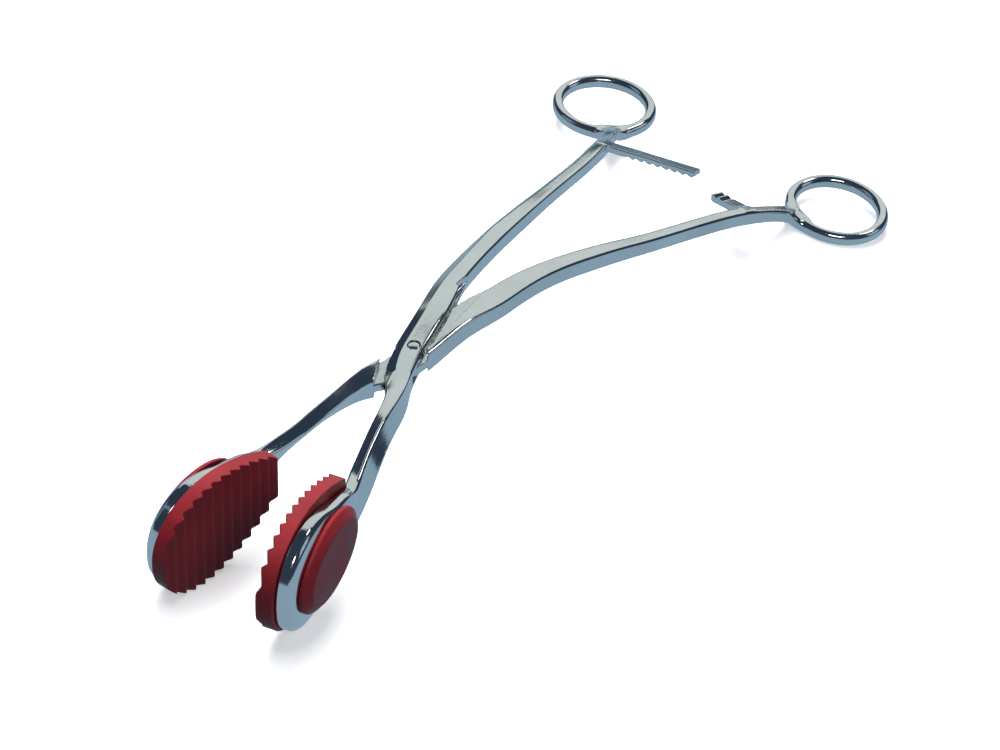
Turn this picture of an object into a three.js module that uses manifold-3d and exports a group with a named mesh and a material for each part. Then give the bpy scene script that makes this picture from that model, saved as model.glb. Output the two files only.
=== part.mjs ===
// Box-lock ring-handled tongs with ratchet bars and ribbed rubber jaw pads.
// Millimetres, +Z up. Each arm is laid out in its own lock frame: origin at the
// middle of the pivot, +X towards the finger rings, +Z along the pivot axis,
// with the two grip planes meeting at y = 0. The arms are then swung apart and
// the whole tool is pitched so that it lies on its finger rings and jaws.
import * as THREE from 'three';
import { mergeVertices } from 'three/addons/utils/BufferGeometryUtils.js';
import Module from 'manifold-3d';
const wasm = await Module(); wasm.setup();

//@@PARAMS
const OPEN_DEG = 14.7;          // angle between the arms as modelled
const OPEN_MIN_DEG = 3.0;       // ratchet block against the other shank
const OPEN_MAX_DEG = 40.5;      // widest opening of the lock
const PITCH_DEG = -9.8404;        // lock frame to resting frame
const LIFT = 31.7003;              // pivot centre above the table
const MID_X = -45.6140;            // pivot centre along the table, from the middle of the tool
const MID_Y = -0.0000;
// handle side of an arm: x, y, z, half width, half height, squareness
const SHANK = [
  [0, 1.0, 0, 3.9, 3.1, 4.6, 0], [13, 1.2, 0.25, 3.9, 2.95, 4.4, 0], [29.75, 2.7, -1.95, 3.4, 2.6, 3.8, 0], [38.25, 2.45, -3.7, 3.15, 2.55, 3.6, 0],
  [51, 2.2, -7.7, 2.75, 2.47, 3.4, 0], [72.25, 2.5, -16.2, 2.4, 2.38, 3.2, 0], [93.5, 3.05, -25.6, 2.05, 2.15, 3, 0],
  [114.75, 3.5, -34.8, 1.95, 2.1, 3, 0], [130, 4.45, -41.4, 1.95, 2.1, 3, 0], [142.8, 6.3, -47.8, 1.6, 1.9, 3, 0], [149.0, 7.7, -51.2, 1.75, 1.8, 3, 0],
];
const RING = { x: 163.4, y: 15.3, z: -55.3, r1: 11.45, r2: 12.9, tr: 1.5, hr: 1.8, tilt: -3.4, roll: -0.67, join: 210 };
const HANDLE_STEP = 1.5;        // the box arm's handle rides this much high, the other's low
// jaw side of an arm, the last number being the section's twist in degrees
const NECK = [[-11, -0.5, 0.15, 3.4, 3.25, 4.4, 0], [-15.2, -2.6, 0.1, 2.5, 3.2, 4, 5], [-20, -3.7, 0.2, 2.0, 3.0, 3.6, 15],
  [-28.9, -4.6, 0.4, 1.85, 2.85, 3.2, 28], [-37, -5.5, -0.5, 1.82, 2.95, 3.2, 31], [-44.5, -6.4, -1.4, 1.85, 3.4, 3, 22]];
const JAW = { x: -71.7, z: -2.83, half: 18.0, wide: 14.15, tilt: 0.5, padT: 5.1, frameT: 4.06, step: 1.3 };
const PAD = { x: -70.6, half: 20.6, wide: 15.05, cutU: 0.107, pitch: 3.36, tooth: 1.1, gap: 0.7 };
const BUTTON = { x: -70.4, half: 15.0, wide: 11.5, t: 2.3 };
const WINDOW = { half: 11.5, wide: 7.8 };
const RACK = { x: 136.0, width: 4.4, lenA: 27.6, lenB: 11.0, tallA: 2.35, raiseA: 0.0, raiseB: 0.3, teeth: 8, pitch: 2.4, tooth: 0.8 };
//@@END
const TANG = 1.25;              // half thickness of the insert arm's tang
const LOCK_GAP = 0.2;           // running gap inside the lock
const SIDE_GAP = 0.28;
const LOCK_REACH = 31;          // how far the lock cuts reach from the pivot
const PIN = { r: 1.2, head: 1.5, headT: 0.7, hole: 1.36 };
const FIT = 0.3;                // gap between parts that touch

// ---------- helpers
const V = (x, y, z) => new THREE.Vector3(x, y, z);
const rad = THREE.MathUtils.degToRad;
function geo(pts, idx) {
  const g = new THREE.BufferGeometry();
  g.setAttribute('position', new THREE.BufferAttribute(new Float32Array(pts.flatMap((p) => [p.x, p.y, p.z])), 3));
  g.setIndex(idx); return g;
}
function volume(g) {
  const p = g.getAttribute('position'), ix = g.index.array; let v = 0;
  const a = V(), b = V(), c = V();
  for (let i = 0; i < ix.length; i += 3) {
    a.fromBufferAttribute(p, ix[i]); b.fromBufferAttribute(p, ix[i + 1]); c.fromBufferAttribute(p, ix[i + 2]);
    v += a.dot(b.cross(c)) / 6;
  }
  return v;
}
function solid(g0) {
  let g = g0.clone(); g.deleteAttribute('normal'); g.deleteAttribute('uv'); g = mergeVertices(g, 1e-4);
  const ix = Array.from(g.index.array);
  if (volume(g) < 0) for (let i = 0; i < ix.length; i += 3) { const t = ix[i + 1]; ix[i + 1] = ix[i + 2]; ix[i + 2] = t; }
  return new wasm.Manifold(new wasm.Mesh({ numProp: 3, vertProperties: new Float32Array(g.getAttribute('position').array), triVerts: new Uint32Array(ix) }));
}
function loft(sections, ring) {
  const n = sections[0].length, m = sections.length, pts = sections.flat(), idx = [];
  for (let i = 0; i < (ring ? m : m - 1); i++) for (let j = 0; j < n; j++) {
    const a = i * n + j, b = i * n + (j + 1) % n, c = ((i + 1) % m) * n + j, d = ((i + 1) % m) * n + (j + 1) % n;
    idx.push(a, b, d, a, d, c);
  }
  if (!ring) for (const [k, flip] of [[0, true], [m - 1, false]]) {
    const c = V(); for (let j = 0; j < n; j++) c.add(pts[k * n + j]); c.multiplyScalar(1 / n); pts.push(c);
    for (let j = 0; j < n; j++) { const a = k * n + j, b = k * n + (j + 1) % n, e = pts.length - 1; idx.push(...(flip ? [e, b, a] : [e, a, b])); }
  }
  return solid(geo(pts, idx));
}
function superSection(c, n1, n2, a, b, e, N = 12) {
  const out = [];
  for (let i = 0; i < N; i++) {
    const t = (i + 0.5) / N * 2 * Math.PI, cs = Math.cos(t), sn = Math.sin(t);
    out.push(c.clone().addScaledVector(n1, a * Math.sign(cs) * Math.abs(cs) ** (2 / e)).addScaledVector(n2, b * Math.sign(sn) * Math.abs(sn) ** (2 / e)));
  }
  return out;
}
function prism(poly, z0, z1) {   // outline in plan, pulled along z
  const s = new THREE.Shape(poly.map(([x, y]) => new THREE.Vector2(x, y)));
  const g = new THREE.ExtrudeGeometry(s, { depth: z1 - z0, bevelEnabled: false }); g.translate(0, 0, z0);
  return solid(g);
}
function union(list) { let r = list[0]; for (const s of list.slice(1)) r = r.add(s); return r; }
function turnZ(m, deg) { return m.rotate([0, 0, deg]); }
function mirrorY(m) { return m.mirror([0, 1, 0]); }
function biggest(m) { const p = m.decompose(); p.sort((a, b) => b.volume() - a.volume()); return p[0]; }
function toGeometry(m) {
  const k = m.getMesh(), g = new THREE.BufferGeometry();
  const v = new Float32Array(k.numVert * 3);
  for (let i = 0; i < k.numVert; i++) for (let j = 0; j < 3; j++) v[3 * i + j] = k.vertProperties[i * k.numProp + j];
  g.setAttribute('position', new THREE.BufferAttribute(v, 3)); g.setIndex(Array.from(k.triVerts)); return g;
}

// ---------- arm spine
const rise = (x, up) => up * HANDLE_STEP * Math.min(1, Math.max(0, (x - 12) / 90)) ** 1.3;
const ringE1 = V(Math.cos(rad(RING.tilt)), 0, Math.sin(rad(RING.tilt)));
const ringE2 = V(0, Math.cos(rad(RING.roll)), Math.sin(rad(RING.roll)));
const ringE3 = ringE1.clone().cross(ringE2).normalize();
const jawF1 = V(Math.cos(rad(JAW.tilt)), 0, Math.sin(rad(JAW.tilt)));
const jawF2 = V(-Math.sin(rad(JAW.tilt)), 0, Math.cos(rad(JAW.tilt)));
const jawAt = (s, t, y) => V(JAW.x, 0, JAW.z).addScaledVector(jawF1, s).addScaledVector(jawF2, t).add(V(0, y, 0));
const pear = (u) => Math.max(0, Math.sin(Math.PI * u ** 1.48)) ** 0.41;
function pearOutline(half, wide, s0, M = 14) {
  const up = [], dn = [];
  for (let j = 0; j <= M; j++) {
    const u = (1 - Math.cos(Math.PI * j / M)) / 2, s = s0 + half - u * 2 * half, w = wide * pear(u);
    up.push([s, w]); if (j > 0 && j < M) dn.unshift([s, -w]);
  }
  return up.concat(dn);
}
function ovalOutline(half, wide, s0, M = 28) {
  return Array.from({ length: M }, (_, i) => [s0 + half * Math.cos(2 * Math.PI * i / M), wide * Math.sin(2 * Math.PI * i / M)]);
}
function stack(layers, up) {   // [outline, y] pairs in the jaw's own plane
  return loft(layers.map(([o, y]) => o.map(([s, t]) => jawAt(s, t + up * JAW.step, y))));
}

function arm(up) {
  const frameY = -(JAW.padT + JAW.frameT / 2), hw = JAW.frameT / 2;
  const st = [];
  const jx = (s) => { const p = jawAt(s, 0, 0); return [p.x, p.z + up * JAW.step]; };
  const [fx0, fz0] = jx(JAW.half * 0.55), [fx1, fz1] = jx(JAW.half * 0.86), [fx2, fz2] = jx(JAW.half * 1.12);
  st.push([fx0, frameY, fz0, hw - 0.35, JAW.wide * 0.80, 3.2, 0]);
  st.push([fx1, frameY, fz1, hw - 0.3, JAW.wide * 0.60, 3.0, 0]);
  st.push([fx2, frameY + 0.1, fz2, hw - 0.1, JAW.wide * 0.36, 2.8, 4]);
  for (const n of [...NECK].reverse()) st.push([n[0], n[1], n[2] + up * JAW.step * Math.min(1, Math.max(0, (-n[0] - 12) / 26)), ...n.slice(3)]);
  for (const n of SHANK) st.push([n[0], n[1], n[2] + rise(n[0], up), ...n.slice(3)]);
  const rj = rad(RING.join), near = V(RING.x, RING.y, RING.z + up * HANDLE_STEP).addScaledVector(ringE1, Math.cos(rj) * RING.r1).addScaledVector(ringE2, Math.sin(rj) * RING.r2);
  st.push([near.x + 0.5, near.y + 0.3, near.z, 3.6, RING.hr * 0.93, 3, 0]);
  const P = st.map((q) => V(q[0], q[1], q[2]));
  const curve = new THREE.CatmullRomCurve3(P, false, 'centripetal');
  const sections = [];
  const K = st.length - 1;
  const lerp = (a, b, t) => a + (b - a) * t;
  for (let i = 0; i < K; i++) {
    const sub = P[i].distanceTo(P[i + 1]) > 18 ? 3 : P[i].distanceTo(P[i + 1]) > 7 ? 2 : 1;
    for (let j = 0; j < sub; j++) {
      const f = j / sub, t = (i + f) / K, c = curve.getPoint(t), tg = curve.getTangent(t);
      const e = f * f * (3 - 2 * f), w = rad(lerp(st[i][6], st[i + 1][6], e));
      const h1 = V(-tg.y, tg.x, 0).normalize(), h2 = tg.clone().cross(h1).normalize();
      const n1 = h1.clone().multiplyScalar(Math.cos(w)).addScaledVector(h2, -Math.sin(w)), n2 = h2.clone().multiplyScalar(Math.cos(w)).addScaledVector(h1, Math.sin(w));
      sections.push(superSection(c, n1, n2, lerp(st[i][3], st[i + 1][3], e), lerp(st[i][4], st[i + 1][4], e), lerp(st[i][5], st[i + 1][5], e)));
    }
  }
  { const c = P[K], tg = curve.getTangent(1), n1 = V(-tg.y, tg.x, 0).normalize(), n2 = tg.clone().cross(n1).normalize(); sections.push(superSection(c, n1, n2, st[K][3], st[K][4], st[K][5])); }
  const bar = loft(sections);
  // finger ring
  const rs = [], rc = V(RING.x, RING.y, RING.z + up * HANDLE_STEP);
  for (let i = 0; i < 30; i++) {
    const t = i / 30 * 2 * Math.PI, d = ringE1.clone().multiplyScalar(Math.cos(t) * RING.r1).addScaledVector(ringE2, Math.sin(t) * RING.r2);
    rs.push(superSection(rc.clone().add(d), d.clone().normalize(), ringE3, RING.tr, RING.hr, 2.6, 8));
  }
  const ring = loft(rs, true);
  // jaw frame
  const y1 = -JAW.padT, y2 = y1 - JAW.frameT;
  const frame = stack([
    [pearOutline(JAW.half - 0.7, JAW.wide - 0.7, 0), y1], [pearOutline(JAW.half, JAW.wide, 0), y1 - 0.9],
    [pearOutline(JAW.half, JAW.wide, 0), y2 + 1.6], [pearOutline(JAW.half - 1.5, JAW.wide - 1.5, 0), y2]], up);
  let m = union([bar, ring, frame]);
  m = m.subtract(stack([[ovalOutline(WINDOW.half, WINDOW.wide, BUTTON.x - JAW.x), y1 + 3], [ovalOutline(WINDOW.half, WINDOW.wide, BUTTON.x - JAW.x), y2 - 3]], up));
  const full = PAD.half / (1 - PAD.cutU), s0 = PAD.x - JAW.x;
  const seat = pearOutline(full + FIT, PAD.wide + FIT, s0 + PAD.half - full * (1 - 2 * PAD.cutU), 18);
  m = m.subtract(stack([[seat, 8], [seat, y1]], up));
  return { m: biggest(m), curve, st, P, K };
}
function planOutline(a, grow) {   // the arm's outline in plan over the lock
  const left = [], right = [];
  for (let i = 0; i <= 62; i++) {
    const x = -LOCK_REACH + 2 * LOCK_REACH * i / 62;
    // find the spine at x
    let lo = 0, hi = 1; for (let k = 0; k < 40; k++) { const mid = (lo + hi) / 2; if (a.curve.getPoint(mid).x < x) lo = mid; else hi = mid; }
    const t = (lo + hi) / 2, c = a.curve.getPoint(t), f = t * a.K, s = Math.min(a.K - 1, Math.floor(f)), q = f - s, e = q * q * (3 - 2 * q);
    const mix = (k) => a.st[s][k] + (a.st[s + 1][k] - a.st[s][k]) * e, tw = rad(mix(6));
    const w = mix(3) * Math.cos(tw) + 0.8 * mix(4) * Math.sin(tw) + grow;
    left.push([c.x, c.y + w]); right.unshift([c.x, c.y - w]);
  }
  return left.concat(right);
}
function rack(xk, yk, zTop, zBot, len, up, slope) {
  // bar profile in (reach, z), pulled along x and following the shank's slope; teeth on one side
  const pts = [], t = RACK.tooth;
  if (up > 0) {
    pts.push([-0.5, zTop], [len, zTop], [len, zBot + t]);
    const n = RACK.teeth; let s = len - 0.3;
    for (let i = 0; i < n; i++) { pts.push([s, zBot + t * 0.9], [s - 0.55, zBot], [s - RACK.pitch + 0.05, zBot + t]); s -= RACK.pitch; }
    pts.push([s, zBot + t * 0.5], [s - 1.5, zBot + t * 0.2], [-0.5, zBot + t * 0.2]);
  } else {
    const n = 2; let s = len;
    pts.push([-0.5, zBot], [len - 0.5, zBot], [len, zBot + 0.5]);
    for (let i = 0; i < n; i++) { pts.push([s, zTop - t], [s - 0.5, zTop], [s - RACK.pitch * 0.8, zTop - t]); s -= RACK.pitch * 0.8; }
    pts.push([s - 0.8, zTop - t * 0.4], [-0.5, zTop - t * 0.2]);
  }
  const g = new THREE.ExtrudeGeometry(new THREE.Shape(pts.map(([a, b]) => new THREE.Vector2(a, b))), { depth: RACK.width, bevelEnabled: false });
  // shape x -> -y (reach towards the other arm), shape y -> z, depth -> x
  g.applyMatrix4(new THREE.Matrix4().set(0, 0, 1, xk - RACK.width / 2, -1, 0, 0, yk, 0, 1, slope, -slope * RACK.width / 2, 0, 0, 0, 1));
  return solid(g);
}
function spineAt(a, x) {
  let lo = 0, hi = 1; for (let k = 0; k < 40; k++) { const mid = (lo + hi) / 2; if (a.curve.getPoint(mid).x < x) lo = mid; else hi = mid; }
  const t = (lo + hi) / 2, f = t * a.K, s = Math.min(a.K - 1, Math.floor(f)), q = f - s, e = q * q * (3 - 2 * q);
  return { c: a.curve.getPoint(t), a: a.st[s][3] + (a.st[s + 1][3] - a.st[s][3]) * e, b: a.st[s][4] + (a.st[s + 1][4] - a.st[s][4]) * e };
}

function slopeAt(a, x) { return (spineAt(a, x + 2).c.z - spineAt(a, x - 2).c.z) / 4; }

// ---------- the two arms, both laid out as the box arm, the second then mirrored
const A = arm(1), B = arm(-1);
const ka = spineAt(A, RACK.x), kb = spineAt(B, RACK.x);
const topA = ka.c.z + ka.b - 0.1 + RACK.raiseA, topB = kb.c.z + kb.b - 0.1 + RACK.raiseB;
let armA = A.m.add(rack(RACK.x, ka.c.y, topA, topA - RACK.tallA, RACK.lenA, 1, slopeAt(A, RACK.x)));
let armB = B.m.add(rack(RACK.x, kb.c.y, topB, topB - 2.9, RACK.lenB, -1, slopeAt(B, RACK.x)));
armB = mirrorY(armB);
const outA = planOutline(A, SIDE_GAP), outB = planOutline(B, SIDE_GAP).map(([x, y]) => [x, -y]).reverse();
const slotParts = [], shoulderParts = [];
for (let th = OPEN_MIN_DEG - 0.6; th <= OPEN_MAX_DEG + 0.6; th += 3.8) {
  slotParts.push(turnZ(prism(outB, -TANG - LOCK_GAP, TANG + LOCK_GAP), -th));
  shoulderParts.push(turnZ(prism(outA, TANG, 12), th), turnZ(prism(outA, -12, -TANG), th));
}
const slot = union(slotParts), shoulders = union(shoulderParts);
const zPin = SHANK[0][4];
const cyl = (r, z0, z1) => { const g = new THREE.CylinderGeometry(r, r, z1 - z0, 24); g.rotateX(Math.PI / 2); g.translate(0, 0, (z0 + z1) / 2); return solid(g); };
armA = armA.subtract(slot).subtract(cyl(PIN.hole, -12, 12)).subtract(cyl(PIN.head + 0.15, zPin - PIN.headT - 0.15, 12)).subtract(cyl(PIN.head + 0.15, -12, -zPin + PIN.headT + 0.15));
armB = armB.subtract(shoulders).subtract(cyl(PIN.hole, -12, 12));
armA = biggest(armA); armB = biggest(armB);

// ---------- pivot pin: a rivet with a flush head at each end
const pz = zPin - 0.12;
const pinGeo = new THREE.LatheGeometry([[0, -pz], [PIN.head, -pz], [PIN.head, -pz + PIN.headT], [PIN.r, -pz + PIN.headT + 0.05], [PIN.r, pz - PIN.headT - 0.05], [PIN.head, pz - PIN.headT], [PIN.head, pz], [0, pz]].map(([r, z]) => new THREE.Vector2(r, z)), 24);
pinGeo.rotateX(Math.PI / 2);
const pin = solid(pinGeo);

// ---------- rubber pad: ribbed grip block, neck through the window, outer button
function pad(up) {
  const s0 = PAD.x - JAW.x, back = -(JAW.padT - FIT), outer = -(JAW.padT + JAW.frameT + FIT);
  const full = PAD.half / (1 - PAD.cutU), outline = pearOutline(full, PAD.wide, s0 + PAD.half - full * (1 - 2 * PAD.cutU), 18);
  const block = stack([[outline, 2], [outline, back + 0.5], [outline.map(([s, t]) => [s0 + (s - s0) * 0.985, t * 0.97]), back]], up);
  const end = s0 + PAD.half, tip = s0 - PAD.half - 3, poly = [[end, back - 1], [end, -PAD.gap - PAD.tooth * 0.4]];
  let s = end - 0.4;
  while (s - PAD.pitch > tip) { poly.push([s, -PAD.gap], [s - PAD.pitch * 0.72, -PAD.gap - PAD.tooth]); s -= PAD.pitch; }
  poly.push([s, -PAD.gap], [tip, -PAD.gap - PAD.tooth], [tip, back - 1]);
  const wide = PAD.wide + 4 + JAW.step;
  const g = new THREE.ExtrudeGeometry(new THREE.Shape(poly.map(([a, b]) => new THREE.Vector2(a, b))), { depth: 2 * wide, bevelEnabled: false });
  // shape x -> along the jaw, shape y -> y, depth -> across the jaw
  const o = jawAt(0, 0, 0).addScaledVector(jawF2, wide);
  g.applyMatrix4(new THREE.Matrix4().set(jawF1.x, 0, -jawF2.x, o.x, 0, 1, 0, o.y, jawF1.z, 0, -jawF2.z, o.z, 0, 0, 0, 1));
  const grip = block.intersect(solid(g));
  const b0 = BUTTON.x - JAW.x;
  const neck = stack([[ovalOutline(WINDOW.half - FIT, WINDOW.wide - FIT, b0, 24), back + 1], [ovalOutline(WINDOW.half - FIT, WINDOW.wide - FIT, b0, 24), outer - 0.5]], up);
  const button = stack([[ovalOutline(BUTTON.half, BUTTON.wide, b0), outer], [ovalOutline(BUTTON.half, BUTTON.wide, b0), outer - 0.4],
    [ovalOutline(BUTTON.half - 1.2, BUTTON.wide - 1.2, b0), outer - BUTTON.t * 0.72], [ovalOutline(BUTTON.half - 3.0, BUTTON.wide - 2.8, b0), outer - BUTTON.t]], up);
  return union([grip, neck, button]);
}
const padA = pad(1), padB = mirrorY(pad(-1));

// ---------- assembly
const steel = () => new THREE.MeshStandardMaterial({ color: 0xc4cbd0, roughness: 0.12, metalness: 1.0 });
const rubber = () => new THREE.MeshStandardMaterial({ color: 0x7d1c26, roughness: 0.55, metalness: 0.0 });
const node = (name, m, mat) => { const k = new THREE.Mesh(toGeometry(m), mat); k.name = name; return k; };
const root = new THREE.Group();
const lock = new THREE.Group(); lock.position.set(MID_X, MID_Y, LIFT); lock.rotation.y = rad(PITCH_DEG); root.add(lock);
const sideA = new THREE.Group(); sideA.rotation.z = rad(OPEN_DEG / 2); lock.add(sideA);
const sideB = new THREE.Group(); sideB.rotation.z = rad(-OPEN_DEG / 2); lock.add(sideB);
sideA.add(node('box_arm', armA, steel()), node('pivot_pin', pin, steel()), node('box_arm_pad', padA, rubber()));
sideB.add(node('insert_arm', armB, steel()), node('insert_arm_pad', padB, rubber()));
export default root;
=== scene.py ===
import math
import bpy
import numpy as np
from mathutils import Matrix, Vector


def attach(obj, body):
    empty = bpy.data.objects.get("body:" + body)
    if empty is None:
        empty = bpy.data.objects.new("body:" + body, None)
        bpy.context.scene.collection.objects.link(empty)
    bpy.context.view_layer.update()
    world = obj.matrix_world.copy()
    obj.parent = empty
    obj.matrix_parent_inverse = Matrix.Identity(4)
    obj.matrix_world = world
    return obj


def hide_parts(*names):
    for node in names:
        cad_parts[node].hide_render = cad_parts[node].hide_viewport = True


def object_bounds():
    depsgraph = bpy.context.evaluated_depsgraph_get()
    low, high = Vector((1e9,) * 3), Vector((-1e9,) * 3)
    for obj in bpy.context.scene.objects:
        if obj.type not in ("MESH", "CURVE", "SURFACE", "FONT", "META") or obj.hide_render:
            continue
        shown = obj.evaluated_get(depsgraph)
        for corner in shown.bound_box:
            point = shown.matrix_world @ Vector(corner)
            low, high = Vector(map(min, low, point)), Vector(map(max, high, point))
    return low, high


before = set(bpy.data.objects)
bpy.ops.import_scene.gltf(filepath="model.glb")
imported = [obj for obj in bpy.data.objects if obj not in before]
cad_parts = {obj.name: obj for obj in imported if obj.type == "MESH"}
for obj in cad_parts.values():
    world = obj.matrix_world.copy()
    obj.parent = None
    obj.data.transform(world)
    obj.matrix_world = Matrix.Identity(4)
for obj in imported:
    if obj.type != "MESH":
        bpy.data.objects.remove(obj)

CAD_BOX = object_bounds()

# ------------------------------------------------------------------ sizes, in mm, as the solids have them
OPEN_DEG, OPEN_MIN_DEG, OPEN_MAX_DEG = 14.7, 3.0, 40.5
PITCH_DEG, LIFT, MID_X = -9.8404, 31.7003, -45.6140
SHANK = [
    [0, 1.0, 0, 3.9, 3.1, 0], [13, 1.2, 0.25, 3.9, 2.95, 0], [29.75, 2.7, -1.95, 3.4, 2.6, 0], [38.25, 2.45, -3.7, 3.15, 2.55, 0],
    [51, 2.2, -7.7, 2.75, 2.47, 0], [72.25, 2.5, -16.2, 2.4, 2.38, 0], [93.5, 3.05, -25.6, 2.05, 2.15, 0],
    [114.75, 3.5, -34.8, 1.95, 2.1, 0], [130, 4.45, -41.4, 1.95, 2.1, 0], [142.8, 6.3, -47.8, 1.6, 1.9, 0], [149.0, 7.7, -51.2, 1.75, 1.8, 0],
]
RING = dict(x=163.4, y=15.3, z=-55.3, r1=11.45, r2=12.9, tr=1.5, hr=1.8, tilt=-3.4, roll=-0.67, join=210)
HANDLE_STEP = 1.5
NECK = [[-11, -0.5, 0.15, 3.4, 3.25, 0], [-15.2, -2.6, 0.1, 2.5, 3.2, 5], [-20, -3.7, 0.2, 2.0, 3.0, 15],
        [-28.9, -4.6, 0.4, 1.85, 2.85, 28], [-37, -5.5, -0.5, 1.82, 2.95, 31], [-44.5, -6.4, -1.4, 1.85, 3.4, 22]]
JAW = dict(x=-71.7, z=-2.83, half=18.0, wide=14.15, tilt=0.5, padT=5.1, frameT=4.06, step=1.3)
PAD = dict(x=-70.6, half=20.6, wide=15.05, cutU=0.107, pitch=3.36, tooth=1.1, gap=0.7)
BUTTON = dict(x=-70.4, half=15.0, wide=11.5, t=2.3)
WINDOW = dict(half=11.5, wide=7.8)
RACK = dict(x=136.0, width=4.4, lenA=27.6, lenB=11.0, tallA=2.35, raiseA=0.0, raiseB=0.3, teeth=8, pitch=2.4, tooth=0.8)
TANG, LOCK_GAP, SIDE_GAP, LOCK_REACH = 1.25, 0.2, 0.28, 31
PIN = dict(r=1.2, head=1.5, headT=0.7, hole=1.36)
FIT = 0.3
H = 0.3        # lattice step of the steel pieces

rad = math.radians


# ------------------------------------------------------------------ curves and distances
def pchip(x, y, q):
    x, y = np.asarray(x, float), np.asarray(y, float)
    h, d = np.diff(x), np.diff(y) / np.diff(x)
    m = np.zeros_like(y)
    for i in range(1, len(x) - 1):
        if d[i - 1] * d[i] > 0:
            w1, w2 = 2 * h[i] + h[i - 1], h[i] + 2 * h[i - 1]
            m[i] = (w1 + w2) / (w1 / d[i - 1] + w2 / d[i])
    m[0], m[-1] = d[0], d[-1]
    i = np.clip(np.searchsorted(x, q) - 1, 0, len(x) - 2)
    t = (q - x[i]) / h[i]
    return ((1 + 2 * t) * (1 - t) ** 2 * y[i] + t * (1 - t) ** 2 * h[i] * m[i]
            + t * t * (3 - 2 * t) * y[i + 1] + t * t * (t - 1) * h[i] * m[i + 1])


def smooth(v, sigma, step):
    n = int(4 * sigma / step)
    k = np.exp(-0.5 * (np.arange(-n, n + 1) * step / sigma) ** 2)
    k /= k.sum()
    lo = 2 * v[0] - v[n:0:-1]
    hi = 2 * v[-1] - v[-2:-n - 2:-1]
    return np.convolve(np.concatenate([lo, v, hi]), k, mode="valid")


def smax(a, b, k):
    h = np.clip(0.5 + 0.5 * (a - b) / k, 0, 1)
    return b * (1 - h) + a * h + k * h * (1 - h)


def smin(a, b, k):
    return -smax(-a, -b, k)


def rbox(u, v, a, b, r):
    qx, qy = np.abs(u) - a + r, np.abs(v) - b + r
    return np.hypot(np.maximum(qx, 0), np.maximum(qy, 0)) + np.minimum(np.maximum(qx, qy), 0) - r


def poly_distance(px, py, poly):
    poly = np.asarray(poly, float)
    d = np.full(px.shape, 1e9)
    inside = np.zeros(px.shape, bool)
    for (ax, ay), (bx, by) in zip(poly, np.roll(poly, -1, axis=0)):
        ex, ey = bx - ax, by - ay
        wx, wy = px - ax, py - ay
        t = np.clip((wx * ex + wy * ey) / (ex * ex + ey * ey + 1e-12), 0, 1)
        d = np.minimum(d, (wx - ex * t) ** 2 + (wy - ey * t) ** 2)
        c = (ay > py) != (by > py)
        if abs(by - ay) > 1e-12:
            inside ^= c & (px < ax + (py - ay) * ex / (by - ay))
    d = np.sqrt(d)
    return np.where(inside, -d, d)


class Grid2:
    def __init__(self, poly, lo, hi, step):
        self.lo, self.step = np.array(lo, float), step
        nx, ny = int((hi[0] - lo[0]) / step) + 2, int((hi[1] - lo[1]) / step) + 2
        X, Y = np.meshgrid(lo[0] + np.arange(nx) * step, lo[1] + np.arange(ny) * step, indexing="ij")
        self.v = poly_distance(X, Y, poly) if poly is not None else None
        self.X, self.Y = X, Y

    def __call__(self, x, y):
        fx = np.clip((x - self.lo[0]) / self.step, 0, self.v.shape[0] - 1.001)
        fy = np.clip((y - self.lo[1]) / self.step, 0, self.v.shape[1] - 1.001)
        i, j = fx.astype(np.int32), fy.astype(np.int32)
        a, b = fx - i, fy - j
        v = self.v
        return (v[i, j] * (1 - a) + v[i + 1, j] * a) * (1 - b) + (v[i, j + 1] * (1 - a) + v[i + 1, j + 1] * a) * b


def pear(u):
    return np.maximum(0, np.sin(np.pi * u ** 1.48)) ** 0.41


def pear_outline(half, wide, s0, cut=0.0, M=60):
    u = (1 - np.cos(np.pi * np.arange(M + 1) / M)) / 2
    u = cut + (1 - cut) * u if cut else u
    s, w = s0 + half - u * 2 * half, wide * pear(u)
    return np.concatenate([np.stack([s, w], -1), np.stack([s, -w], -1)[1 if not cut else 0:-1][::-1]])


def oval_distance(s, t, half, wide):
    k = np.hypot(s / half, t / wide)
    g = np.hypot(s / half ** 2, t / wide ** 2) / np.maximum(k, 1e-6)
    return (k - 1) / np.maximum(g, 1e-6)


tj = rad(JAW["tilt"])
F1, F2 = np.array([math.cos(tj), 0, math.sin(tj)]), np.array([-math.sin(tj), 0, math.cos(tj)])
E1 = np.array([math.cos(rad(RING["tilt"])), 0, math.sin(rad(RING["tilt"]))])
E2 = np.array([0, math.cos(rad(RING["roll"])), math.sin(rad(RING["roll"]))])
E3 = np.cross(E1, E2)


def jaw_coords(p, up):
    d = p - np.array([JAW["x"], 0, JAW["z"]])
    return d @ F1, d @ F2 - up * JAW["step"], p[:, 1]


FRAME2 = Grid2(pear_outline(JAW["half"], JAW["wide"], 0), (-26, -22), (26, 22), 0.2)
full = PAD["half"] / (1 - PAD["cutU"])
S0 = PAD["x"] - JAW["x"]
PAD2 = Grid2(pear_outline(full, PAD["wide"], S0 + PAD["half"] - full * (1 - 2 * PAD["cutU"]), PAD["cutU"]), (-28, -22), (28, 22), 0.2)


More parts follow.
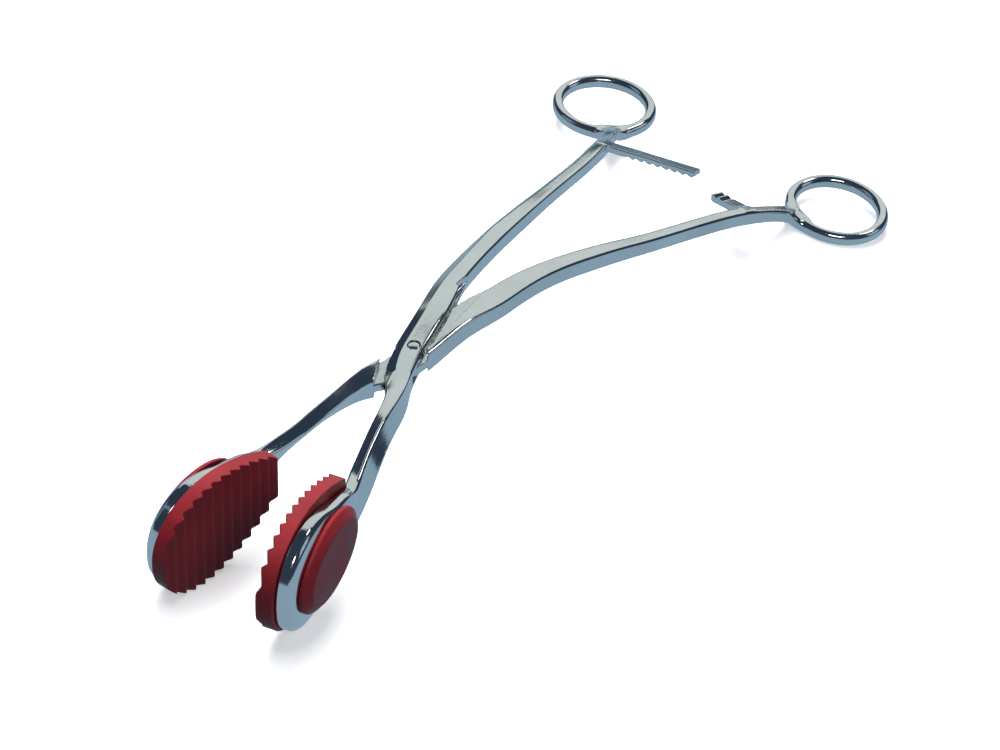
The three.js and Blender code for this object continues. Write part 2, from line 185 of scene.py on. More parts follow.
# ------------------------------------------------------------------ an arm, laid out as the box arm
class Arm:
    def __init__(self, up):
        self.up = up
        fy = -(JAW["padT"] + JAW["frameT"] / 2)
        hw = JAW["frameT"] / 2
        st = []
        for k, y, a, b, w in ((0.2, fy, hw - 0.6, 0.70, 0), (0.55, fy, hw - 0.35, 0.66, 0), (0.86, fy, hw - 0.25, 0.55, 0), (1.12, fy + 0.1, hw - 0.1, 0.36, 4)):
            q = np.array([JAW["x"], 0, JAW["z"]]) + F1 * JAW["half"] * k
            st.append([q[0], y, q[2] + up * JAW["step"], a, JAW["wide"] * b, w])
        for n in NECK[::-1]:
            st.append([n[0], n[1], n[2] + up * JAW["step"] * min(1, max(0, (-n[0] - 12) / 26)), n[3], n[4], n[5]])
        for n in SHANK:
            st.append([n[0], n[1], n[2] + up * HANDLE_STEP * min(1, max(0, (n[0] - 12) / 90)) ** 1.3, n[3], n[4], n[5]])
        rj = rad(RING["join"])
        self.rc = np.array([RING["x"], RING["y"], RING["z"] + up * HANDLE_STEP])
        near = self.rc + E1 * math.cos(rj) * RING["r1"] + E2 * math.sin(rj) * RING["r2"]
        st.append([near[0] + 0.5, near[1] + 0.3, near[2], 2.8, RING["hr"] * 0.9, 0])
        st = np.array(st, float)
        self.t0, self.t1, self.dt = st[0, 0], st[-1, 0], 0.25
        self.t = np.arange(self.t0, self.t1 + 1e-6, self.dt)
        self.C = [smooth(pchip(st[:, 0], st[:, j], self.t), 2.2 if j < 3 else 1.8, self.dt) for j in (1, 2, 3, 4, 5)]
        y, z = self.C[0], self.C[1]
        dy, dz = np.gradient(y, self.dt), np.gradient(z, self.dt)
        L = np.sqrt(1 + dy * dy + dz * dz)
        self.T = np.stack([1 / L, dy / L, dz / L], -1)
        n1 = np.stack([-self.T[:, 1], self.T[:, 0], 0 * L], -1)
        n1 = n1 / np.linalg.norm(n1, axis=1)[:, None]
        n2 = np.cross(self.T, n1)
        w = np.radians(self.C[4])[:, None]
        self.N1, self.N2 = n1 * np.cos(w) - n2 * np.sin(w), n2 * np.cos(w) + n1 * np.sin(w)
        x = RACK["x"]
        self.ky = float(self.at(x, 0)); self.kz = float(self.at(x, 1)); self.kb = float(self.at(x, 3)); self.kslope = float(self.at(x + 2, 1) - self.at(x - 2, 1)) / 4
        self.make_rack()

    def at(self, t, k):
        return np.interp(t, self.t, self.C[k])

    def make_rack(self):
        top = self.kz + self.kb - 0.1 + (RACK["raiseA"] if self.up > 0 else RACK["raiseB"])
        t = RACK["tooth"]
        if self.up > 0:
            bot, n = top - RACK["tallA"], RACK["lenA"]
            pts = [(-0.5, top), (n, top), (n, bot + t)]
            s = n - 0.3
            for _ in range(RACK["teeth"]):
                pts += [(s, bot + t * 0.9), (s - 0.55, bot), (s - 1.0, bot + 0.05), (s - RACK["pitch"] + 0.05, bot + t)]
                s -= RACK["pitch"]
            pts += [(s, bot + t * 0.5), (s - 1.5, bot + t * 0.2), (-0.5, bot + t * 0.2)]
        else:
            bot, n = top - 2.9, RACK["lenB"]
            pts = [(-0.5, bot), (n - 0.5, bot), (n, bot + 0.5)]
            s = n
            for _ in range(2):
                pts += [(s, top - t), (s - 0.5, top), (s - 0.9, top - 0.05), (s - RACK["pitch"] * 0.8, top - t)]
                s -= RACK["pitch"] * 0.8
            pts += [(s - 0.8, top - t * 0.4), (-0.5, top - t * 0.2)]
        self.rack_len, self.rack_top, self.rack_bot = n, top, bot
        self.rackgrid = Grid2(pts, (-8, bot - 5), (n + 6, top + 5), 0.1)

    def bar(self, p):
        t = np.clip(p[:, 0], self.t0, self.t1)
        for _ in range(4):
            c = np.stack([t, self.at(t, 0), self.at(t, 1)], -1)
            T = np.stack([np.interp(t, self.t, self.T[:, k]) for k in range(3)], -1)
            r = ((p - c) * T).sum(-1)
            t = np.clip(t + r * T[:, 0], self.t0, self.t1)
        c = np.stack([t, self.at(t, 0), self.at(t, 1)], -1)
        d = p - c
        N1 = np.stack([np.interp(t, self.t, self.N1[:, k]) for k in range(3)], -1)
        N2 = np.stack([np.interp(t, self.t, self.N2[:, k]) for k in range(3)], -1)
        T = np.stack([np.interp(t, self.t, self.T[:, k]) for k in range(3)], -1)
        u, v, w = (d * N1).sum(-1), (d * N2).sum(-1), (d * T).sum(-1)
        a, b = self.at(t, 2), self.at(t, 3)
        lock = np.clip((50 - np.abs(t - 10)) / 30, 0, 1)         # 1 over the lock, fading along the shank
        lock = lock * lock * (3 - 2 * lock)
        r = np.minimum(np.minimum(a, b) * 0.42, 0.8) * (1 - lock) + 0.40 * lock
        r = r + (a * 0.92 - r) * np.clip((-44 - t) / 10, 0, 1)    # softens where it runs into the jaw
        f = rbox(u, v, a, b, r)
        # long bevel on the outer shoulder, widest at the lock and thinning along the shank
        side = np.clip((t + 15) / 5, 0, 1)
        depth = ((0.45 + 1.1 * lock) if self.up > 0 else 0.30) * side * np.clip((150 - t) / 20, 0, 1)
        cut = ((u - a) * 0.55 + (np.abs(v) - b) * 0.835) + depth
        f = smax(f, cut, 0.3)
        inner = ((-u - a) * 0.6 + (np.abs(v) - b) * 0.8) + 0.42 * side * np.clip((150 - t) / 20, 0, 1)
        f = smax(f, inner, 0.3)
        self.side_d = np.where(np.abs(w) > 1e-3, np.hypot(np.maximum(np.abs(u) - a, 0), w), np.abs(u) - a)
        self.side_v, self.side_b = v, b
        return np.where(np.abs(w) > 1e-3, np.maximum(f, np.hypot(np.maximum(f, 0), w)), f)

    def ring(self, p):
        d = p - self.rc
        X, Y, Z = d @ E1, d @ E2, d @ E3
        r1, r2 = RING["r1"], RING["r2"]
        k = np.hypot(X / r1, Y / r2)
        g = np.hypot(X / r1 ** 2, Y / r2 ** 2) / np.maximum(k, 1e-6)
        return np.abs((k - 1) / np.maximum(g, 1e-6)) - RING["tr"], Z

    def frame(self, p):
        s, t, y = jaw_coords(p, self.up)
        d2 = FRAME2(s, t)
        yc, h = -(JAW["padT"] + JAW["frameT"] / 2), JAW["frameT"] / 2
        r = 0.4
        qx, qy = d2 + r, np.abs(y - yc) - h + r
        flat = np.hypot(np.maximum(qx, 0), np.maximum(qy, 0)) + np.minimum(np.maximum(qx, qy), 0) - r
        # the outer face is a dome: 3.6 mm in from the edge, full height of the half section
        e, v = np.maximum(d2 + 3.6, 0), y - yc
        k = np.maximum(np.hypot(e / 3.6, v / h), 1e-4)
        g = np.maximum(np.hypot(e / 3.6 ** 2, v / h ** 2) / k, 0.2)
        return np.where(y < yc, (k - 1) / g, flat)

    def rack(self, p):
        s, z = self.ky - p[:, 1], p[:, 2] - self.kslope * (p[:, 0] - RACK["x"])
        d2 = self.rackgrid(s, z)
        r = 0.22
        qx, qy = d2 + r, np.abs(p[:, 0] - RACK["x"]) - RACK["width"] / 2 + r
        return np.hypot(np.maximum(qx, 0), np.maximum(qy, 0)) + np.minimum(np.maximum(qx, qy), 0) - r

    def outer(self, p):
        f = self.bar(p)
        m = p[:, 0] > 138
        if m.any():
            # shank and ring meet as one flat Y: joined in plan first, then given their height
            rd, rz = self.ring(p[m])
            bd, bv, bb = self.side_d[m], self.side_v[m], self.side_b[m]
            k = np.clip((rd - bd) / 5 + 0.5, 0, 1)
            plan = smin(bd, rd, 4.2)
            hh, zz = bb * k + RING["hr"] * (1 - k), bv * k + rz * (1 - k)
            r = 0.8 * k + 1.46 * (1 - k)
            qx, qy = plan + r, np.abs(zz) - hh + r
            y = np.hypot(np.maximum(qx, 0), np.maximum(qy, 0)) + np.minimum(np.maximum(qx, qy), 0) - r
            w = np.clip((p[m, 0] - 138) / 6, 0, 1)
            f[m] = f[m] * (1 - w) + y * w
        m = p[:, 0] < -46
        if m.any():
            f[m] = smin(f[m], self.frame(p[m]), 1.8)
        m = (p[:, 0] > RACK["x"] - 9) & (p[:, 0] < RACK["x"] + 9)
        if m.any():
            f[m] = smin(f[m], self.rack(p[m]), 1.1)
        return f

    def __call__(self, p):
        f = self.outer(p)
        m = p[:, 0] < -54
        if m.any():
            s, t, y = jaw_coords(p[m], self.up)
            w = oval_distance(s - (BUTTON["x"] - JAW["x"]), t, WINDOW["half"], WINDOW["wide"])
            f[m] = smax(f[m], -w, 0.3)
            f[m] = smax(f[m], -np.maximum(PAD2(s, t) - FIT, -JAW["padT"] - y), 0.2)
        m = np.abs(p[:, 0]) < 46
        if m.any():
            q = p[m]
            d = SWEEP(q[:, 0], q[:, 1])
            if self.up > 0:
                f[m] = smax(f[m], -np.maximum(d, np.abs(q[:, 2]) - TANG - LOCK_GAP), 0.16)
                z = np.abs(q[:, 2])
                hole = np.minimum(np.maximum(np.hypot(q[:, 0], q[:, 1]) - PIN["head"] - 0.12, (SHANK[0][4] - PIN["headT"] - 0.15) - z),
                                  np.hypot(q[:, 0], q[:, 1]) - PIN["hole"])
                f[m] = smax(f[m], -hole, 0.12)
            else:
                f[m] = smax(f[m], -np.maximum(d, TANG - np.abs(q[:, 2])), 0.16)
                f[m] = smax(f[m], PIN["hole"] - np.hypot(q[:, 0], q[:, 1]), 0.12)
        return f


def outline(arm, grow):
    x = np.linspace(-LOCK_REACH, LOCK_REACH + 9, 150)
    w = np.radians(arm.at(x, 4))
    k = np.clip((x - 28.5) / 11, 0, 1)
    y, a = arm.at(x, 0), arm.at(x, 2) * np.cos(w) + 0.8 * arm.at(x, 3) * np.sin(w) + grow - 2.6 * k * k * (3 - 2 * k)
    return np.concatenate([np.stack([x, y + a], -1), np.stack([x, y - a], -1)[::-1]])


ARM = {1: Arm(1), -1: Arm(-1)}
one = Grid2(outline(ARM[1], SIDE_GAP), (-46, -40), (46, 40), 0.25)
SWEEP = Grid2(None, (-46, -34), (46, 34), 0.25)
SWEEP.v = np.full(SWEEP.X.shape, 1e9)
for th in np.arange(OPEN_MIN_DEG - 0.6, OPEN_MAX_DEG + 0.61, 1.0):
    # the other arm, mirrored and swung by -th; undo the swing, then the mirror
    c, s = math.cos(rad(th)), math.sin(rad(th))
    X, Y = SWEEP.X * c - SWEEP.Y * s, SWEEP.X * s + SWEEP.Y * c
    SWEEP.v = np.minimum(SWEEP.v, one(X, -Y))


# ------------------------------------------------------------------ a rubber pad
def pad_field(up):
    back, outer = -(JAW["padT"] - 0.1), -(JAW["padT"] + JAW["frameT"] + FIT)
    b0 = BUTTON["x"] - JAW["x"]
    end = S0 + PAD["half"]

    def f(p):
        s, t, y = jaw_coords(p, up)
        d2 = PAD2(s, t)
        # ribs: a steep front and a long back, rounded at the bottom
        q = ((end - 0.4 - s) / PAD["pitch"]) % 1.0
        rib = np.where(q < 0.70, 0.5 - 0.5 * np.cos(np.pi * q / 0.70), 0.5 + 0.5 * np.cos(np.pi * (q - 0.70) / 0.30))
        rib = rib ** 0.8
        face = (y + PAD["gap"] + PAD["tooth"] * rib) * 0.80
        r = 0.32
        qx, qy = d2 + r, (back - y) + r
        blk = np.hypot(np.maximum(qx, 0), np.maximum(qy, 0)) + np.minimum(np.maximum(qx, qy), 0) - r
        blk = smax(blk, face, 0.22)
        neck = np.maximum(oval_distance(s - b0, t, WINDOW["half"] - FIT, WINDOW["wide"] - FIT), np.maximum(y - (back + 1), outer - 0.5 - y))
        o = oval_distance(s - b0, t, BUTTON["half"], BUTTON["wide"])
        h = outer - y                                             # height above the frame's face
        btn = smax(o, h - BUTTON["t"], 0.5)
        btn = smax(btn, (o + 0.1) * 0.56 + (h - 0.75) * 0.83, 0.35)
        btn = smax(btn, -h - 0.26, 0.12)
        return smin(np.minimum(blk, neck), btn, 0.05)
    return f


# ------------------------------------------------------------------ lattice to mesh
def field_mesh(f, lo, hi, h):
    lo = np.array(lo, float)
    B = 8
    nb = np.ceil((np.array(hi) - lo) / (h * B)).astype(int)
    ctr = [lo[k] + (np.arange(nb[k]) + 0.5) * B * h for k in range(3)]
    G = np.stack(np.meshgrid(*ctr, indexing="ij"), -1).reshape(-1, 3)
    fc = f(G)
    near = np.abs(fc) < B * h * 0.5 * math.sqrt(3) * 1.25 + 0.5
    n = nb * B + 1
    sign = np.where(fc > 0, 9.0, -9.0).astype(np.float32).reshape(nb)
    D = np.full(n, 9.0, np.float32)
    D[:-1, :-1, :-1] = np.repeat(np.repeat(np.repeat(sign, B, 0), B, 1), B, 2)
    ids = np.argwhere(near.reshape(nb))
    off = np.stack(np.meshgrid(*[np.arange(B + 1)] * 3, indexing="ij"), -1).reshape(-1, 3)
    for a in range(0, len(ids), 700):
        idx = (ids[a:a + 700, None, :] * B + off[None]).reshape(-1, 3)
        D[idx[:, 0], idx[:, 1], idx[:, 2]] = f(lo + idx * h)
    S = D < 0
    stride = np.array([n[1] * n[2], n[2], 1])
    cells, pts, quads = [], [], []
    for ax in range(3):
        sl0 = [slice(None)] * 3; sl1 = [slice(None)] * 3
        sl0[ax], sl1[ax] = slice(0, -1), slice(1, None)
        X = np.argwhere(S[tuple(sl0)] != S[tuple(sl1)])
        X = X[(X > 0).all(1) & (X < n - 1).all(1)]
        e = np.zeros(3, int); e[ax] = 1
        f0 = D[X[:, 0], X[:, 1], X[:, 2]]
        Y = X + e
        f1 = D[Y[:, 0], Y[:, 1], Y[:, 2]]
        P = lo + (X + e * (f0 / (f0 - f1))[:, None]) * h
        u, v = (ax + 1) % 3, (ax + 2) % 3
        eu = np.zeros(3, int); eu[u] = 1
        ev = np.zeros(3, int); ev[v] = 1
        q = np.stack([(X) @ stride, (X - eu) @ stride, (X - eu - ev) @ stride, (X - ev) @ stride], -1)
        flip = f0 > 0
        q[flip] = q[flip][:, ::-1]
        quads.append(q)
        for c in range(4):
            cells.append(q[:, c]); pts.append(P)
    cells, pts, quads = np.concatenate(cells), np.concatenate(pts), np.concatenate(quads)
    ids, inv = np.unique(cells, return_inverse=True)
    cnt = np.bincount(inv)
    V = np.stack([np.bincount(inv, pts[:, k]) / cnt for k in range(3)], -1)
    Q = np.searchsorted(ids, quads)
    for step in range(3):
        g, v = gradient(f, V)
        V -= np.clip(v / np.maximum((g ** 2).sum(-1), 0.25), -0.5 * h, 0.5 * h)[:, None] * g
    g, _ = gradient(f, V)
    g /= np.maximum(np.linalg.norm(g, axis=1), 1e-6)[:, None]
    return V, Q, g


def gradient(f, V, e=0.06):
    out = np.zeros_like(V)
    for k in range(3):
        d = np.zeros(3); d[k] = e
        out[:, k] = (f(V + d) - f(V - d)) / (2 * e)
    return out, f(V)


def to_row(V, side, vec=False):
    V = V * np.array([1, side, 1])
    a = rad(OPEN_DEG / 2) * side
    x, y = V[:, 0] * math.cos(a) - V[:, 1] * math.sin(a), V[:, 0] * math.sin(a) + V[:, 1] * math.cos(a)
    b = rad(PITCH_DEG)
    R = np.stack([x * math.cos(b) + V[:, 2] * math.sin(b), y, -x * math.sin(b) + V[:, 2] * math.cos(b)], -1)
    return R if vec else (R + np.array([MID_X, 0, LIFT])) / 1000


def clamp_floor(V):
    lo, hi = np.array(CAD_BOX[0]), np.array(CAD_BOX[1])
    return np.clip(V, lo + 1e-6, hi - 1e-6)


def make(name, V, Q, N, side, body, nodes, mat):
    W = clamp_floor(to_row(V, side))
    N = to_row(N, side, True)
    if side < 0:
        Q = Q[:, ::-1]
    me = bpy.data.meshes.new(name)
    me.vertices.add(len(W)); me.vertices.foreach_set("co", W.astype(np.float32).ravel())
    me.loops.add(Q.size); me.loops.foreach_set("vertex_index", Q.astype(np.int32).ravel())
    me.polygons.add(len(Q))
    me.polygons.foreach_set("loop_start", np.arange(0, Q.size, 4, dtype=np.int32))
    me.polygons.foreach_set("loop_total", np.full(len(Q), 4, dtype=np.int32))
    me.update(calc_edges=True)
    me.validate()
    me.polygons.foreach_set("use_smooth", np.ones(len(me.polygons), bool))
    if len(me.vertices) == len(N):
        me.normals_split_custom_set_from_vertices(N.astype(np.float32))
    ob = bpy.data.objects.new(name, me)
    bpy.context.scene.collection.objects.link(ob)
    me.materials.append(mat)
    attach(ob, body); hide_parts(*nodes)
    return ob


# ------------------------------------------------------------------ materials
def nodes_of(name):
    m = bpy.data.materials.new(name); m.use_nodes = True
    nt = m.node_tree
    return m, nt, nt.nodes, nt.links, nt.nodes["Principled BSDF"]


def steel(name, seed):
    m, nt, N, L, b = nodes_of(name)
    b.inputs["Metallic"].default_value = 1.0
    tc = N.new("ShaderNodeTexCoord")
    mp = N.new("ShaderNodeMapping"); mp.inputs["Location"].default_value = (seed, seed * 0.7, 0); mp.inputs["Scale"].default_value = (1, 1, 1)
    L.new(tc.outputs["Object"], mp.inputs["Vector"])
    st = N.new("ShaderNodeMapping"); st.inputs["Scale"].default_value = (55, 1500, 1500)
    L.new(mp.outputs["Vector"], st.inputs["Vector"])
    hair = N.new("ShaderNodeTexNoise"); hair.inputs["Scale"].default_value = 1.0; hair.inputs["Detail"].default_value = 4.0
    L.new(st.outputs["Vector"], hair.inputs["Vector"])
    blot = N.new("ShaderNodeTexNoise"); blot.inputs["Scale"].default_value = 55.0; blot.inputs["Detail"].default_value = 5.0
    L.new(mp.outputs["Vector"], blot.inputs["Vector"])
    pits = N.new("ShaderNodeTexNoise"); pits.inputs["Scale"].default_value = 900.0; pits.inputs["Detail"].default_value = 2.0
    L.new(mp.outputs["Vector"], pits.inputs["Vector"])
    # colour: near neutral steel with a very slight warm and cool drift
    cr = N.new("ShaderNodeValToRGB")
    cr.color_ramp.elements[0].position, cr.color_ramp.elements[0].color = 0.30, (0.66, 0.69, 0.69, 1)
    cr.color_ramp.elements[1].position, cr.color_ramp.elements[1].color = 0.72, (0.78, 0.80, 0.79, 1)
    L.new(blot.outputs["Fac"], cr.inputs["Fac"]); L.new(cr.outputs["Color"], b.inputs["Base Color"])
    # roughness: polished, with handling smudges and hairlines
    r1 = N.new("ShaderNodeMapRange"); r1.inputs["From Min"].default_value = 0.35; r1.inputs["From Max"].default_value = 0.7
    r1.inputs["To Min"].default_value = 0.075; r1.inputs["To Max"].default_value = 0.15
    L.new(blot.outputs["Fac"], r1.inputs["Value"])
    r2 = N.new("ShaderNodeMapRange"); r2.inputs["From Min"].default_value = 0.5; r2.inputs["From Max"].default_value = 0.8
    r2.inputs["To Min"].default_value = 0.0; r2.inputs["To Max"].default_value = 0.09
    L.new(hair.outputs["Fac"], r2.inputs["Value"])
    ad = N.new("ShaderNodeMath"); ad.operation = "ADD"
    L.new(r1.outputs["Result"], ad.inputs[0]); L.new(r2.outputs["Result"], ad.inputs[1]); L.new(ad.outputs[0], b.inputs["Roughness"])
    bp = N.new("ShaderNodeBump"); bp.inputs["Strength"].default_value = 0.02; bp.inputs["Distance"].default_value = 0.0003
    L.new(hair.outputs["Fac"], bp.inputs["Height"])
    bp2 = N.new("ShaderNodeBump"); bp2.inputs["Strength"].default_value = 0.03; bp2.inputs["Distance"].default_value = 0.0003
    L.new(pits.outputs["Fac"], bp2.inputs["Height"]); L.new(bp.outputs["Normal"], bp2.inputs["Normal"])
    L.new(bp2.outputs["Normal"], b.inputs["Normal"])
    return m


def rubber(name, seed):
    m, nt, N, L, b = nodes_of(name)
    b.inputs["Metallic"].default_value = 0.0
    b.inputs["Specular IOR Level"].default_value = 0.22
    tc = N.new("ShaderNodeTexCoord")
    mp = N.new("ShaderNodeMapping"); mp.inputs["Location"].default_value = (seed, 0, seed)
    L.new(tc.outputs["Object"], mp.inputs["Vector"])
    big = N.new("ShaderNodeTexNoise"); big.inputs["Scale"].default_value = 90.0; big.inputs["Detail"].default_value = 6.0
    L.new(mp.outputs["Vector"], big.inputs["Vector"])
    fine = N.new("ShaderNodeTexNoise"); fine.inputs["Scale"].default_value = 1800.0; fine.inputs["Detail"].default_value = 3.0
    L.new(mp.outputs["Vector"], fine.inputs["Vector"])
    cr = N.new("ShaderNodeValToRGB")
    cr.color_ramp.elements[0].position, cr.color_ramp.elements[0].color = 0.32, (0.235, 0.015, 0.022, 1)
    cr.color_ramp.elements[1].position, cr.color_ramp.elements[1].color = 0.70, (0.33, 0.026, 0.036, 1)
    L.new(big.outputs["Fac"], cr.inputs["Fac"]); L.new(cr.outputs["Color"], b.inputs["Base Color"])
    r = N.new("ShaderNodeMapRange"); r.inputs["From Min"].default_value = 0.3; r.inputs["From Max"].default_value = 0.7
    r.inputs["To Min"].default_value = 0.36; r.inputs["To Max"].default_value = 0.50
    L.new(big.outputs["Fac"], r.inputs["Value"]); L.new(r.outputs["Result"], b.inputs["Roughness"])
    bp = N.new("ShaderNodeBump"); bp.inputs["Strength"].default_value = 0.12; bp.inputs["Distance"].default_value = 0.0002
    L.new(fine.outputs["Fac"], bp.inputs["Height"])
    bp2 = N.new("ShaderNodeBump"); bp2.inputs["Strength"].default_value = 0.08; bp2.inputs["Distance"].default_value = 0.0015
    L.new(big.outputs["Fac"], bp2.inputs["Height"]); L.new(bp.outputs["Normal"], bp2.inputs["Normal"])
    L.new(bp2.outputs["Normal"], b.inputs["Normal"])
    return m


STEEL_A, STEEL_B, STEEL_PIN = steel("steel_box_arm", 0.0), steel("steel_insert_arm", 0.37), steel("steel_pin", 0.71)
RUBBER_A, RUBBER_B = rubber("rubber_box_pad", 0.0), rubber("rubber_insert_pad", 0.29)

# ------------------------------------------------------------------ the pieces
for side, body, node, mat, padnode, pmat in ((1, "box_side", "box_arm", STEEL_A, "box_arm_pad", RUBBER_A),
                                              (-1, "insert_side", "insert_arm", STEEL_B, "insert_arm_pad", RUBBER_B)):
    V, Q, N = field_mesh(ARM[side], (-96, -28, -62), (180, 32, 18), H)
    make(node + "_forging", V, Q, N, side, body, [node], mat)
    V, Q, N = field_mesh(pad_field(side), (-97, -14, -21), (-49, 2, 16), 0.26)
    make(padnode + "_moulding", V, Q, N, side, body, [padnode], pmat)

# the pivot rivet: shank and two slightly crowned heads, turned profile
prof = []
pz = SHANK[0][4] - 0.12
for i in range(7):
    r = (PIN["head"] - 0.22) * i / 6
    prof.append((r, pz + 0.0 - 0.10 * (r / PIN["head"]) ** 2))
prof += [(PIN["head"] - 0.12, pz - 0.13), (PIN["head"] - 0.03, pz - 0.22), (PIN["head"], pz - 0.34), (PIN["head"], pz - PIN["headT"]), (PIN["r"], pz - PIN["headT"] - 0.05)]
prof = prof + [(r, -z) for r, z in prof[::-1]]
M = 64
PV, PF = [], []
rows = []
for r, z in prof:
    if r == 0:
        rows.append([len(PV)]); PV.append((0, 0, z))
    else:
        rows.append(list(range(len(PV), len(PV) + M)))
        PV += [(r * math.cos(2 * math.pi * k / M), r * math.sin(2 * math.pi * k / M), z) for k in range(M)]
for A_, B_ in zip(rows, rows[1:]):
    for k in range(M):
        a, b = A_[k % len(A_)], A_[(k + 1) % M % len(A_)] if len(A_) > 1 else A_[0]
        c, d = B_[k % len(B_)] if len(B_) > 1 else B_[0], B_[(k + 1) % M] if len(B_) > 1 else B_[0]
        face = [a, c, d, b]
        face = [v for i, v in enumerate(face) if v not in face[:i]]
        PF.append(face)
pm = bpy.data.meshes.new("pivot_rivet")
pm.from_pydata([tuple(v) for v in to_row(np.array(PV, float), 1)], [], PF)
pm.update()
for poly in pm.polygons:
    poly.use_smooth = True
pin = bpy.data.objects.new("pivot_rivet", pm)
bpy.context.scene.collection.objects.link(pin)
pm.materials.append(STEEL_PIN)
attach(pin, "box_side"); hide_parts("pivot_pin")

# ------------------------------------------------------------------ stage: floor, cards, light, camera
def emission(name, color, strength):
    m = bpy.data.materials.new(name); m.use_nodes = True
    nt = m.node_tree; nt.nodes.clear()
    e = nt.nodes.new("ShaderNodeEmission"); o = nt.nodes.new("ShaderNodeOutputMaterial")
    e.inputs["Color"].default_value = (*color, 1); e.inputs["Strength"].default_value = strength
    nt.links.new(e.outputs[0], o.inputs["Surface"])
    return m


def quad(name, pts, mat):
    me = bpy.data.meshes.new(name); me.from_pydata(pts, [], [tuple(range(len(pts)))]); me.update()
    ob = bpy.data.objects.new(name, me); bpy.context.scene.collection.objects.link(ob)
    me.materials.append(mat)
    return ob


def only(ob, camera=False, glossy=False, diffuse=False, shadow=False):
    ob.visible_camera, ob.visible_glossy, ob.visible_diffuse, ob.visible_shadow = camera, glossy, diffuse, shadow
    ob.visible_transmission = camera
    return ob


fm, fnt, FN, FL, fb = nodes_of("floor_paper")
fb.inputs["Base Color"].default_value = (0.95, 0.95, 0.955, 1); fb.inputs["Roughness"].default_value = 0.9
fb.inputs["Specular IOR Level"].default_value = 0.1
fb.inputs["Emission Color"].default_value = (1, 1, 1, 1); fb.inputs["Emission Strength"].default_value = 0.42
R = 1.6
disc = [(math.cos(t), math.sin(t)) for t in np.linspace(0, 2 * math.pi, 64, endpoint=False)]
only(quad("floor", [(R * x, R * y, -0.0002) for x, y in disc], fm), camera=True)
# what the steel sees below itself: a cool grey-blue table, brighter near the tool
only(quad("table_mirror", [(0.9 * x, 0.9 * y, -0.0006) for x, y in disc], emission("table_mirror", (0.29, 0.42, 0.53), 1.0)), glossy=True)

bpy.context.scene.view_settings.view_transform = "Standard"
world = bpy.data.worlds.new("studio"); bpy.context.scene.world = world; world.use_nodes = True
world.node_tree.nodes["Background"].inputs["Color"].default_value = (0.030, 0.045, 0.075, 1)
world.node_tree.nodes["Background"].inputs["Strength"].default_value = 1.0
# a pale dome that only the camera sees
ds, fs = [], []
NA, NE = 48, 12
for i_ in range(NE + 1):
    el_ = -math.pi / 2 * 0.5 + (math.pi / 2 * 1.5) * i_ / NE
    ds += [(9 * math.cos(el_) * math.cos(2 * math.pi * k / NA), 9 * math.cos(el_) * math.sin(2 * math.pi * k / NA), 9 * math.sin(el_)) for k in range(NA)]
for i_ in range(NE):
    fs += [(i_ * NA + k, i_ * NA + (k + 1) % NA, (i_ + 1) * NA + (k + 1) % NA, (i_ + 1) * NA + k) for k in range(NA)]
dome_me = bpy.data.meshes.new("backdrop"); dome_me.from_pydata(ds, [], fs); dome_me.update()
dome = bpy.data.objects.new("backdrop", dome_me); bpy.context.scene.collection.objects.link(dome)
dome_me.materials.append(emission("backdrop", (0.97, 0.975, 0.98), 1.0)); only(dome, camera=True)


def at_dir(az, el):
    return Vector((math.cos(rad(az)) * math.cos(rad(el)), math.sin(rad(az)) * math.cos(rad(el)), math.sin(rad(el))))


def card(name, az, el, width, height, dist, color, strength):
    """A panel seen only in reflections, facing the origin, at a compass angle from +X and a height angle."""
    d = at_dir(az, el)
    u = Vector((0, 0, 1)).cross(d).normalized(); v = d.cross(u)
    c = d * dist
    pts = [tuple(c + u * sx * width / 2 + v * sy * height / 2) for sx, sy in ((-1, -1), (1, -1), (1, 1), (-1, 1))]
    return only(quad(name, pts, emission(name, color, strength)), glossy=True)


def area(name, az, el, dist, size, power, color=(1, 1, 1), size_y=None, glossy=True):
    d = at_dir(az, el)
    l = bpy.data.lights.new(name, "AREA"); l.energy = power; l.color = color; l.size = size
    if size_y:
        l.shape = "RECTANGLE"; l.size_y = size_y
    o = bpy.data.objects.new(name, l); bpy.context.scene.collection.objects.link(o)
    o.location = d * dist
    o.rotation_euler = (-d).to_track_quat("-Z", "Y").to_euler()
    o.visible_glossy = glossy
    return o


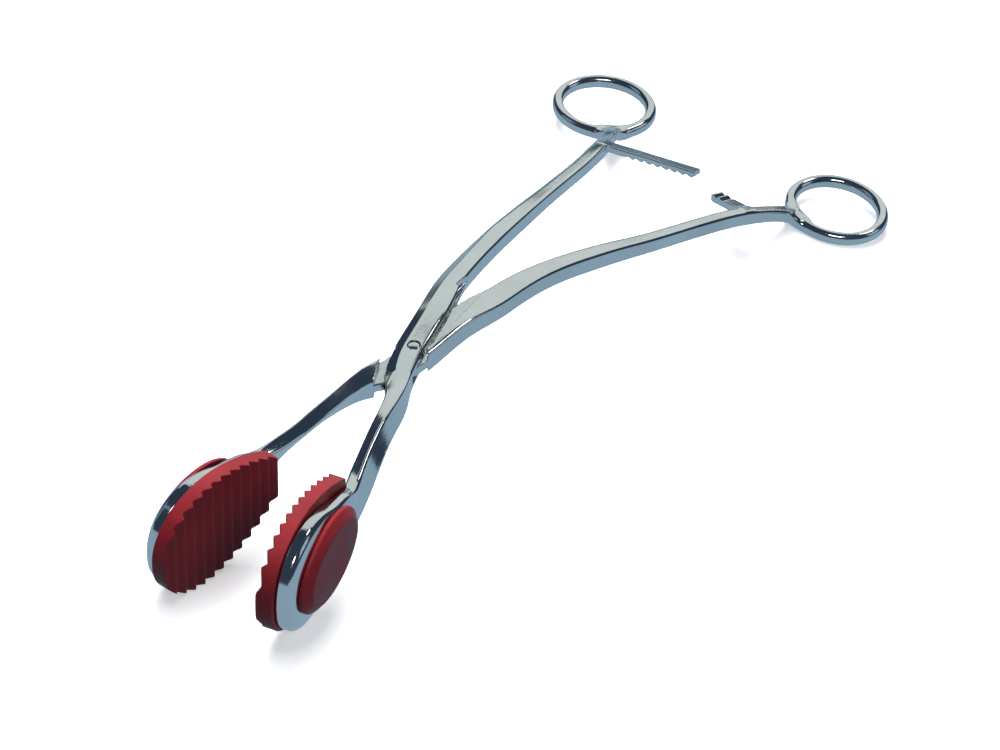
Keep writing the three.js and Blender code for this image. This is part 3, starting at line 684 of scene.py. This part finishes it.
# the camera stands towards (-X, -Y), so the tops mirror what is over the far side
card("card_far", 26, 30, 2.9, 2.3, 2.4, (0.62, 0.67, 0.66), 1.12)
card("card_far_low", 26, 0, 2.6, 0.45, 2.38, (0.07, 0.10, 0.12), 1.0)
card("card_left", 120, 30, 1.0, 1.6, 2.4, (0.20, 0.27, 0.36), 1.0)
card("card_right", -70, 28, 1.2, 1.2, 2.4, (0.42, 0.50, 0.56), 1.0)
card("lamp_a", 200, 50, 0.85, 0.5, 2.3, (1.0, 1.0, 1.0), 5.0)
card("lamp_b", -20, 62, 0.6, 0.4, 2.3, (1.0, 1.0, 1.0), 5.0)
area("key", 40, 58, 1.5, 0.9, 26, (1.0, 0.99, 0.97), glossy=False)
area("top", 150, 75, 1.5, 0.9, 12, (0.98, 0.99, 1.0), glossy=False)
area("front", 235, 35, 1.7, 0.8, 7, (1.0, 1.0, 1.0), glossy=False)

# camera: pivot-centred frame of the lens fit, 0.85 mm per unit
e, psi, roll = rad(43.79), rad(60.66), rad(-2.07)
s, c = math.sin(e), math.cos(e)
eu0 = np.array([math.cos(psi), -math.sin(psi), 0]); ev0 = np.array([s * math.sin(psi), s * math.cos(psi), c])
ew = np.array([-c * math.sin(psi), -c * math.cos(psi), s])
eu = math.cos(roll) * eu0 - math.sin(roll) * ev0
ev = math.sin(roll) * eu0 + math.cos(roll) * ev0
unit = 0.85
K, Dist, U0, V0 = 3.5, 1407.5, 413.63, 354.28
pos = (-(U0 - 500) / K * eu - (375 - V0) / K * ev + Dist * ew) * unit
b = rad(PITCH_DEG)
Ry = np.array([[math.cos(b), 0, math.sin(b)], [0, 1, 0], [-math.sin(b), 0, math.cos(b)]])
M3 = Ry @ np.stack([eu, ev, ew], -1)
loc = (Ry @ pos + np.array([MID_X, 0, LIFT])) / 1000
cam_data = bpy.data.cameras.new("camera"); cam_data.sensor_fit = "HORIZONTAL"; cam_data.sensor_width = 36.0
cam_data.lens = K * Dist / 1000 * 36.0; cam_data.clip_start = 0.05; cam_data.clip_end = 50
cam = bpy.data.objects.new("camera", cam_data); bpy.context.scene.collection.objects.link(cam)
mw = Matrix([[*M3[0], loc[0]], [*M3[1], loc[1]], [*M3[2], loc[2]], [0, 0, 0, 1]])
cam.matrix_world = mw
bpy.context.scene.camera = cam
